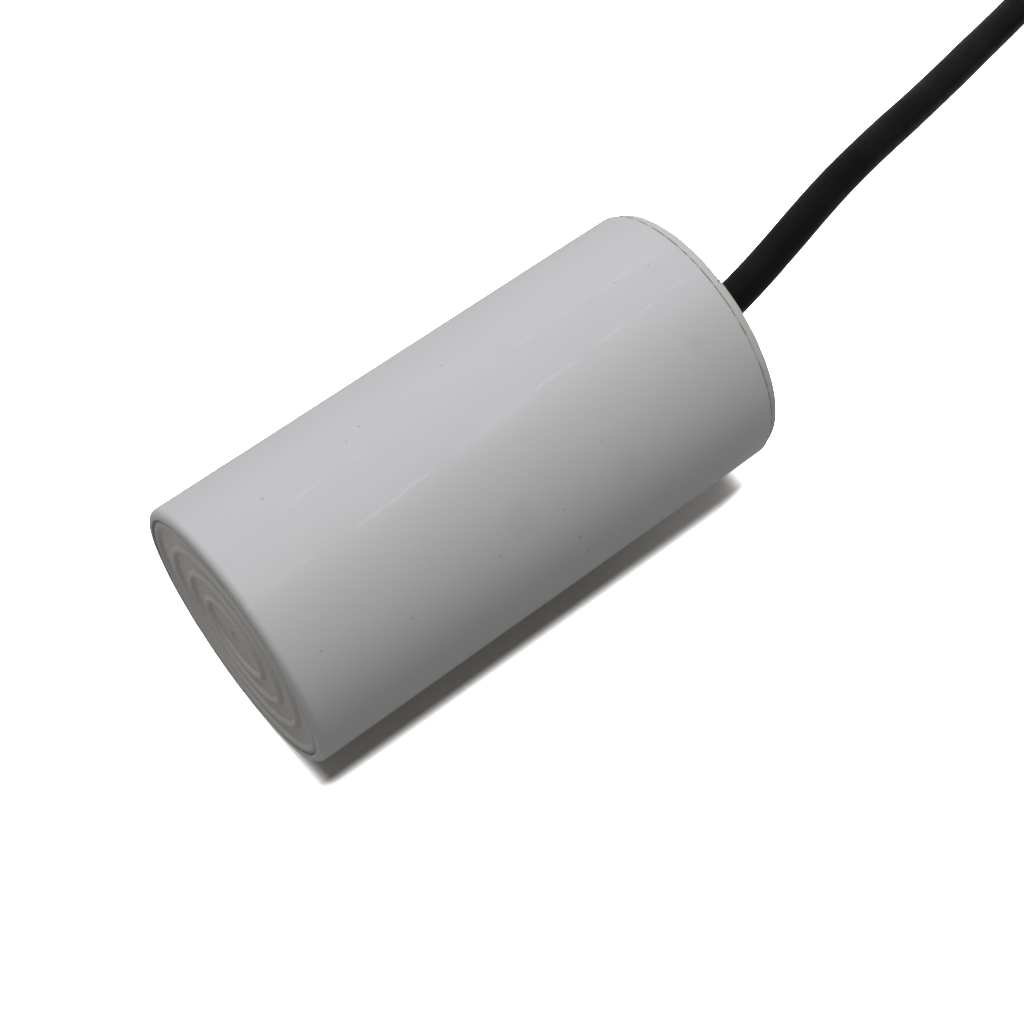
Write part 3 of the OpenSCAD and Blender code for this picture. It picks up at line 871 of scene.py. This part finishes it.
def can_finish():
    """Satin white, with specks and smudges, streaks painted lighter as highlight, and painted shade in the
    groove and along the seam.
    """
    material, tree, surface, where = new_finish("white_can_plastic")
    along, round_way, radius = unrolled(tree, where)
    on_side = soft_step(tree, radius, can_radius - 0.6 * MM, can_radius - 0.3 * MM)

    # Cloudy white, a little warmer in the recess of the closed end
    patches = cloud(tree, where, 14 * MM, 4, (0.5, 1, 1))
    white = two_shades(tree, patches, (0.614, 0.616, 0.630), (0.656, 0.658, 0.670))
    in_recess = soft_step(tree, radius, recess_radius + 0.1 * MM, recess_radius - 0.1 * MM)
    white = two_shades(tree, calc(tree, "SUBTRACT", 1.0, in_recess), (0.665, 0.655, 0.636), white)

    # Streaks of painted highlight lighten the plastic, and where scuffed they are smoother
    scuffs_and_sheen = calc(tree, "MULTIPLY", on_side, strongest(tree, [
        scuff_and_sheen_line(tree, where, along, round_way, *line) for line in SCUFF_AND_SHEEN_LINES]))
    light = two_shades(tree, calc(tree, "MULTIPLY", scuffs_and_sheen, SHEEN_STREAK_LIGHT), white, SHEEN_STREAK_SHADE)

    # Specks and smudges darken it, and painted shade darkens the groove inside the rim and the seam
    specks = strongest(tree, [spot(tree, along, round_way, a * MM, angle, size * MM)
                              for a, angle, size in SPECKS])
    smudges = strongest(tree, [spot(tree, along, round_way, a * MM, angle, size * MM)
                               for a, angle, size in SMUDGES])
    groove_and_gate_patches = soft_step(tree, cloud(tree, where, 2.5 * MM, 4), 0.38, 0.62)
    # Painted shade in the narrow groove inside the rim, where the rim's inner wall shades the recess
    outside_ring = soft_step(tree, radius, recess_radius - 0.45 * MM, recess_radius - 0.15 * MM)
    groove = calc(tree, "MULTIPLY", calc(tree, "MULTIPLY", outside_ring, in_recess),
                  soft_step(tree, groove_and_gate_patches, 0, 1, 0.18, 0.4))
    # A painted shadow line along the seam at the mouth
    seam_patches = soft_step(tree, cloud(tree, where, 1.6 * MM, 5), 0.38, 0.56, 0.35, 1)
    seam = calc(tree, "MULTIPLY", soft_step(
        tree, along, can_length - 0.32 * MM, can_length - 0.14 * MM), seam_patches)
    # A darker, patchy ring just outside the gate's dimple
    tick = soft_step(tree, calc(tree, "ABSOLUTE", calc(
        tree, "SUBTRACT", radius, 0.9 * MM)), 0.35 * MM, 0.05 * MM)
    gate = calc(tree, "MULTIPLY", calc(tree, "MULTIPLY", tick, groove_and_gate_patches), GATE_DARKENING)
    # The darkest mark wins: dirt for specks and smudges, painted shade for the groove and the seam, and the
    # darker ring at the gate
    darkening = strongest(tree, [
        gate,
        calc(tree, "MULTIPLY", calc(tree, "MULTIPLY", specks, on_side), SPECK_DIRT),
        calc(tree, "MULTIPLY", calc(tree, "MULTIPLY", smudges, on_side), SMUDGE_DIRT),
        groove, calc(tree, "MULTIPLY", seam, SEAM_SHADE)])
    tree.links.new(two_shades(tree, darkening, light, DIRT_AND_SHADE_COLOUR), surface.inputs["Base Color"])

    # Satin gloss with slow waves, smoother along the scuffed streaks
    gloss = soft_step(tree, cloud(tree, where, 8 * MM, 4, (0.5, 1, 1)), 0.3, 0.7, 0.34, 0.42)
    shine = calc(tree, "MULTIPLY_ADD", scuffs_and_sheen, -0.08, gloss)
    tree.links.new(shine, surface.inputs["Roughness"])
    skin_grain = cloud(tree, where, 0.35 * MM, 3)
    waves = cloud(tree, where, 5 * MM, 2, (0.35, 1, 1))
    heights = calc(tree, "ADD", waves, calc(
        tree, "MULTIPLY_ADD", skin_grain, 0.12, calc(tree, "MULTIPLY", scuffs_and_sheen, 0.3)))
    grain(tree, surface, heights, 0.02 * MM)
    level = soft_step(tree, in_recess, 0, 1, SIDE_REFLECTION, RECESS_REFLECTION)
    tree.links.new(level, surface.inputs["Specular IOR Level"])
    return material


can_plastic = can_finish()
can_shell.data.materials.append(can_plastic)
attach(can_shell, "root")
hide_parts("can")
print("can finished with", len(SPECKS), "specks and", len(SMUDGES), "smudges")

# %% [markdown]
# ## The lid
#
# The lid is an ivory moulding, glued into the mouth. A spigot that is out of sight
# plugs the can, a flat flange covers its mouth and stops just short of its
# outside, and a low collar guides the lead. Its edge is not clean: it was fitted
# by hand, and a whisker of plastic still stands on it near the top. The lid is
# spun like the can. The whisker is a small cone of rings that leans over, added to
# the same mesh.

# %% Spin the lid
LID_STEP = 0.5 * MM
LID_ROUND = 0.6 * MM
SEAM_EDGE = 0.12 * MM
SPIGOT_LENGTH = 4.5 * MM
SPIGOT_WALL = 1.5 * MM
SPIGOT_GAP = 0.1 * MM
COLLAR_RADIUS = 5 * MM
COLLAR_EDGE = 0.25 * MM
COLLAR_HEIGHT = 1.4 * MM
LEAD_HOLE = LEAD_RADIUS + 0.1 * MM
LID_WAVE = 0.05 * MM
WHISKER_TURN = 15
WHISKER_LENGTH = 0.9 * MM
WHISKER_RADIUS = 0.22 * MM
lid_origin = Vector((can_high.x, 0, axis_height))
lid_top = lid_high.x - can_high.x
face_height = lid_top - COLLAR_HEIGHT
lid_radius = can_radius - LID_STEP
spigot_radius = can_radius - CAN_WALL - SPIGOT_GAP


def lid_outline():
    """The lid in section: spigot, seam, side, face, collar and the hole for the lead."""
    places = [(0, LEAD_HOLE), (0, spigot_radius - SPIGOT_WALL),
              (-SPIGOT_LENGTH, spigot_radius - SPIGOT_WALL), (-SPIGOT_LENGTH, spigot_radius),
              (0, spigot_radius)]
    places += arc(SEAM_EDGE, lid_radius - SEAM_EDGE, SEAM_EDGE, 180, 90, 4)
    places += [(SEAM_EDGE + (face_height - LID_ROUND - SEAM_EDGE) * k / 3, lid_radius) for k in (1, 2)]
    places += arc(face_height - LID_ROUND, lid_radius - LID_ROUND, LID_ROUND, 90, 0, 8)
    inner = COLLAR_RADIUS + COLLAR_EDGE
    reach = lid_radius - LID_ROUND - inner
    places += [(face_height, inner + reach * (1 - k / 8)) for k in range(1, 8)]
    places += arc(face_height + COLLAR_EDGE, inner, COLLAR_EDGE, 180, 270, 4)
    places += arc(lid_top - COLLAR_EDGE, COLLAR_RADIUS - COLLAR_EDGE, COLLAR_EDGE, 90, 0, 5)
    places += arc(lid_top - COLLAR_EDGE, LEAD_HOLE + COLLAR_EDGE, COLLAR_EDGE, 0, -90, 4)
    return places


def fitted(along, radius, angle):
    """The lid's edge wanders a little, in and out and along."""
    if radius < lid_radius - LID_ROUND - 0.01 * MM or along < 0:
        return along, radius
    ragged = uneven(0.0, radius, angle, 3 * MM)
    slow = uneven(0.0, radius, angle, 18 * MM)
    return along + (LID_WAVE * ragged if along > 0.5 * MM else 0), radius + LID_WAVE * (
        ragged + slow - 0.9)


def add_whisker(build, angle_degrees, length):
    """A thin leaning cone of plastic on the lid's edge."""
    angle = math.radians(angle_degrees)
    out = Vector((0, -math.sin(angle), math.cos(angle)))
    sideways = ALONG.cross(out)
    root = lid_origin + ALONG * 0.7 * face_height + out * (lid_radius - 0.25 * MM)
    rings = []
    for k in range(9):
        t = k / 8
        place = root + out * length * t + (sideways * 0.35 + ALONG * 0.25) * length * t * t
        size = WHISKER_RADIUS * (1 - t) ** 0.7 + 0.01 * MM
        rings.append([place + size * (math.cos(a) * sideways + math.sin(a) * ALONG)
                      for a in (2 * math.pi * s / 10 for s in range(10))])
    made = skin(build, rings)
    cap(build, made[0])
    cap(build, made[-1])


build = bmesh.new()
add_whisker(build, WHISKER_TURN, WHISKER_LENGTH)
lid_piece = turned("lid_moulding", lid_outline(), lid_origin, ALONG, ROUND_SEGMENTS,
                   fitted, build, loop=True)

# %% Make the lid's finish
# The colour of the painted shade along the seam
LID_SEAM_SHADE = (0.09, 0.085, 0.07)


def lid_finish():
    """Satin ivory, with painted shade, broken in patches, low on its edge along the seam."""
    material, tree, surface, where = new_finish("ivory_lid_plastic")
    patches = cloud(tree, where, 7 * MM, 4)
    ivory = two_shades(tree, patches, (0.600, 0.592, 0.558), (0.655, 0.648, 0.610))
    along, _, _ = unrolled(tree, where)
    past_mouth = calc(tree, "SUBTRACT", along, can_length)
    # Painted shade, broken in patches, just past the mouth on the lid's low edge, where the seam is
    low_edge = soft_step(tree, past_mouth, 0.3 * MM, 0.05 * MM)
    broken = soft_step(tree, cloud(tree, where, 2.8 * MM, 4), 0.44, 0.6)
    darkening = calc(tree, "MULTIPLY", calc(tree, "MULTIPLY", low_edge, broken), 0.45)
    tree.links.new(two_shades(tree, darkening, ivory, LID_SEAM_SHADE), surface.inputs["Base Color"])
    gloss = soft_step(tree, cloud(tree, where, 3 * MM, 4), 0.3, 0.7, 0.36, 0.48)
    tree.links.new(gloss, surface.inputs["Roughness"])
    grain(tree, surface, cloud(tree, where, 0.6 * MM, 4), 0.015 * MM)
    surface.inputs["Specular IOR Level"].default_value = 0.2
    return material


lid_plastic = lid_finish()
lid_piece.data.materials.append(lid_plastic)
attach(lid_piece, "root")
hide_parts("lid")
print("lid stands", round(lid_top / MM, 2), "mm beyond the mouth")

# %% [markdown]
# ## Inside the can
#
# What the can holds is out of sight, but the parts are there: a roll of
# metallised film on a plastic tube, a few turns of clear film around it, sprayed
# metal and solder on its ends, the wires, and the resin around it all. Their
# measured shapes are right as they are, so they stay, and each gets the finish of
# its own stuff.

# %% Finish the inner parts
def film_finish():
    """Metallised film: fine rings around the roll where the layers' edges lie."""
    material, tree, surface, where = new_finish("metallised_film")
    _, _, radius = unrolled(tree, where)
    layers = calc(tree, "FRACT", calc(tree, "DIVIDE", radius, 0.25 * MM))
    tree.links.new(two_shades(tree, soft_step(tree, layers, 0.2, 0.8),
                              (0.42, 0.43, 0.45), (0.62, 0.63, 0.66)), surface.inputs["Base Color"])
    grain(tree, surface, layers, 0.01 * MM)
    surface.inputs["Metallic"].default_value = 0.8
    surface.inputs["Roughness"].default_value = 0.28
    return material


inner_finishes = {
    "film_winding": film_finish(),
    "resin_fill": simple_finish("cast_resin", (0.46, 0.35, 0.17), 0.3, 0.25, 6 * MM),
    "winding_mandrel": simple_finish("tube_plastic", (0.68, 0.68, 0.64), 0.45, 0.08),
    "film_wrap": simple_finish("clear_film", (0.70, 0.75, 0.80), 0.15, 0.05, 8 * MM),
    "end_spray": simple_finish("sprayed_metal", (0.42, 0.43, 0.44), 0.7, 0.35, 1 * MM, 0.25 * MM,
                               0.06 * MM, Metallic=0.7),
    "solder": simple_finish("solder", (0.66, 0.66, 0.65), 0.25, 0.2, 1 * MM, Metallic=1.0),
    "inner_core_blue": core_finishes["blue"],
    "inner_core_brown": core_finishes["brown"],
    "inner_strand": copper,
    "lead_root": black_sheath}
for name, part in nodes.items():
    for start, finish in inner_finishes.items():
        if name.startswith(start):
            for place in part.material_slots:
                place.material = finish
print("inner parts finished:", sum(name.startswith(tuple(inner_finishes)) for name in nodes))

# %% [markdown]
# ## Ground and background
#
# The studio is plain: a white ground, and white all around. If the ground were
# truly that white, it would throw so much light up that the underside of the can
# would lose its shade. So the ground has three faces. To the light that spreads
# through the room it is a quiet grey. In reflections it is white. To the eye it is
# far brighter than any real ground, so that it comes out plain white, and this all
# but washes out the shadow that the lamps cast. The dark strip under the can's
# near side is therefore drawn, and not cast. It is placed from the can's own sizes
# and is made for this camera: from the side its corners show.

# %% Lay the ground
GROUND_SIZE = 4.0
GROUND_TO_LIGHT = (0.31, 0.31, 0.305)
GROUND_IN_REFLECTIONS = (0.9, 0.9, 0.9)
GROUND_TO_EYE = (10.0, 10.0, 10.0)
# The drawn strip: its shade by the ringed end and by the lid, and where each edge fades
SHADE_BY_RINGS = (0.64, 0.62, 0.58)
SHADE_BY_LID = (1.2, 1.18, 1.14)
SHADE_SIDE = (can_radius * 0.81, can_radius * 0.95)
SHADE_FAR_SIDE = (0, can_radius * 0.3)
SHADE_RINGED_END = (can_low.x - 4 * MM, can_low.x + 3 * MM)
SHADE_LID_END = (can_high.x - 2 * MM, lid_high.x + 5 * MM)


def seen_directly(tree):
    """1 for rays from the eye, in a reflection or through glass, 0 for light that spreads."""
    path = add_node(tree, "ShaderNodeLightPath")
    return strongest(tree, [path.outputs[name] for name in (
        "Is Camera Ray", "Is Glossy Ray", "Is Transmission Ray")])


def ground_finish():
    """Quiet to spreading light, white to the eye and in reflections, with the drawn shade."""
    material = bpy.data.materials.new("white_ground")
    material.use_nodes = True
    tree = material.node_tree
    tree.nodes.remove(tree.nodes["Principled BSDF"])
    quiet = add_node(tree, "ShaderNodeBsdfDiffuse", {"Color": (*GROUND_TO_LIGHT, 1)})
    split = add_node(tree, "ShaderNodeSeparateXYZ", {
        "Vector": add_node(tree, "ShaderNodeTexCoord").outputs["Object"]})
    along = split.outputs["X"]
    near = calc(tree, "MULTIPLY", split.outputs["Y"], -1.0)
    beneath = soft_step(tree, near, *SHADE_SIDE, 1, 0)
    for mask in (soft_step(tree, near, *SHADE_FAR_SIDE), soft_step(tree, along, *SHADE_RINGED_END),
                 soft_step(tree, along, *SHADE_LID_END, 1, 0)):
        beneath = calc(tree, "MULTIPLY", beneath, mask)
    to_eye = add_node(tree, "ShaderNodeLightPath").outputs["Is Camera Ray"]
    open_white = two_shades(tree, to_eye, GROUND_IN_REFLECTIONS, GROUND_TO_EYE)
    shaded = two_shades(tree, soft_step(tree, along, 0.1 * can_high.x, lid_high.x),
                        SHADE_BY_RINGS, SHADE_BY_LID)
    bright = add_node(tree, "ShaderNodeBsdfDiffuse", {
        "Color": two_shades(tree, beneath, open_white, shaded)})
    both = add_node(tree, "ShaderNodeMixShader", {
        0: seen_directly(tree), 1: quiet.outputs[0], 2: bright.outputs[0]})
    tree.links.new(both.outputs[0], tree.nodes["Material Output"].inputs["Surface"])
    return material


build = bmesh.new()
bmesh.ops.create_grid(build, x_segments=2, y_segments=2, size=GROUND_SIZE / 2)
ground = finished_piece(build, "ground")
ground.data.materials.append(ground_finish())
print("ground:", GROUND_SIZE, "m wide")

# %% [markdown]
# ## Light
#
# One soft lamp hangs nearly straight over the can, and a second, wider and weaker
# one stands on its far side. Together they make the top bright and let the near
# side fall away into shade. Both are moved a little towards the lid, so that the
# ringed end stays in shade. A dim even glow from all around keeps the shade open,
# though the eye and the reflections see the surroundings as white. Lamps at a plain
# level make a colour come out about as it is written, which is why they are weak.

# %% Hang the lamps and light the surroundings
LAMP_DISTANCE = 0.62
LAMP_SHIFT = Vector((0.085, 0, 0))
LAMP_COLOUR = (0.985, 0.992, 1.0)
GLOW = (0.208, 0.204, 0.200)


def hang_lamp(name, tilt, length, width, power):
    """A soft rectangular lamp over the can, tilted about the can's axis towards the near side."""
    data = bpy.data.lights.new(name, "AREA")
    data.shape = "RECTANGLE"
    data.size = length
    data.size_y = width
    data.energy = power
    data.color = LAMP_COLOUR
    lamp = bpy.data.objects.new(name, data)
    direction = Vector((0, -math.sin(tilt), math.cos(tilt)))
    lamp.location = middle + LAMP_SHIFT + direction * LAMP_DISTANCE
    lamp.rotation_euler = direction.to_track_quat("Z", "Y").to_euler()
    lamp.visible_camera = False
    bpy.context.scene.collection.objects.link(lamp)
    print(name, "at", [round(v, 2) for v in lamp.location], "m")


hang_lamp("overhead_lamp", math.radians(-4), 0.60, 0.34, 2.12)
hang_lamp("far_lamp", math.radians(-50), 0.60, 0.50, 1.0)

world = bpy.data.worlds.new("studio")
world.use_nodes = True
bpy.context.scene.world = world
sky = world.node_tree
sky.links.new(two_shades(sky, seen_directly(sky), GLOW, (1, 1, 1)),
              sky.nodes["Background"].inputs["Color"])
bpy.context.scene.view_settings.view_transform = "Standard"
print("glow:", GLOW)
